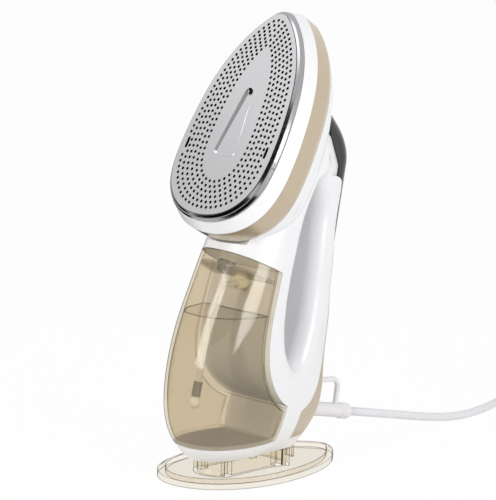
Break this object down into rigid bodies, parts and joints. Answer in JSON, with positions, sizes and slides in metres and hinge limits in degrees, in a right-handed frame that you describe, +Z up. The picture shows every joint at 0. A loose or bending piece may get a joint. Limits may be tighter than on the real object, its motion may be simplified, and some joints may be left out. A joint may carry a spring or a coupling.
{
  "type": "garment steamer",
  "caption": "Hand-held garment steamer with a perforated teardrop soleplate, a loop handle, a clear water tank that pulls out and a clear stand, its cord coiled behind it.",
  "frame": {"origin": "centre of the stand's underside, on the surface it stands on", "axes": "+Z up; the soleplate faces -Y and the cord leaves towards +Y; X = 0 is the mirror plane"},
  "size_m": [0.1096, 0.55, 0.3113],
  "materials": {
    "white_plastic": "glossy white moulded ABS",
    "champagne_plastic": "champagne lacquer, satin metallic",
    "black_gloss": "piano black",
    "button_black": "satin black",
    "lamp_clear": "clear light pipe",
    "sole_coating": "satin ceramic coating",
    "polished_rim": "polished",
    "cast_aluminium": "as cast",
    "steel": "plain",
    "screws_steel": "zinc plated",
    "silicone_red": "matte silicone",
    "fuse_sleeve": "glass-fibre sleeve",
    "board_green": "solder mask",
    "grey_rubber": "matte",
    "pump_black": "moulded",
    "grey_plastic": "moulded",
    "clear_hose": "translucent silicone",
    "amber_tank": "clear smoky amber",
    "tank_pale": "pale clear plastic",
    "cream_silicone": "matte silicone",
    "sleeve_taupe": "matte",
    "ball_white": "moulded weight",
    "clear_stand": "clear pale amber",
    "white_cord": "soft PVC",
    "white_plug": "moulded PVC",
    "blade_metal": "plain"
  },
  "bodies": {
    "stand": {"stand": "clear_stand", "cord_run": "white_cord", "cord_coil": "white_cord", "plug": "white_plug", "plug_blades": "blade_metal"},
    "steamer": {"housing_left": "white_plastic", "housing_right": "white_plastic", "rear_cover": "champagne_plastic", "housing_screws": "screws_steel", "control_spine": "black_gloss", "control_board": "board_green", "board_screws": "screws_steel", "key_domes": "grey_rubber", "indicator_lens": "lamp_clear", "soleplate": "sole_coating", "soleplate_rim": "polished_rim", "head_ring": "white_plastic", "head_band": "champagne_plastic", "heater_plate": "cast_aluminium", "heating_element": "steel", "chamber_gasket": "silicone_red", "chamber_cover": "cast_aluminium", "thermostat": "steel", "thermal_fuse": "fuse_sleeve", "heat_shield": "steel", "head_screws": "screws_steel", "inlet_spigot": "grey_plastic", "water_pump": "pump_black", "pump_mounts": "grey_rubber", "inlet_hose": "clear_hose", "feed_hose": "clear_hose", "strain_relief": "white_cord", "cord_clamp": "grey_plastic"},
    "tank": {"tank_shell": "amber_tank", "tank_back": "tank_pale", "tank_lid": "amber_tank", "tank_port": "cream_silicone", "tank_plug": "amber_tank", "pickup_hose": "clear_hose", "pickup_sleeve": "sleeve_taupe", "pickup_ball": "ball_white"},
    "power_button": {"power_button": "button_black"},
    "steam_button": {"steam_button": "button_black"}
  },
  "joints": [
    {"name": "steamer_lift", "type": "slide", "parent": "stand", "child": "steamer", "axis": [0, 0, 1], "range_m": [0, 0.06]},
    {"name": "tank_slide", "type": "slide", "parent": "steamer", "child": "tank", "axis": [0, -1, 0], "range_m": [0, 0.075]},
    {"name": "power_press", "type": "slide", "parent": "steamer", "child": "power_button", "axis": [0, -0.9862, 0.1656], "range_m": [0, 0.0012], "stiffness_N_per_m": 600},
    {"name": "steam_press", "type": "slide", "parent": "steamer", "child": "steam_button", "axis": [0, -0.9862, 0.1656], "range_m": [0, 0.0012], "stiffness_N_per_m": 600}
  ]
}
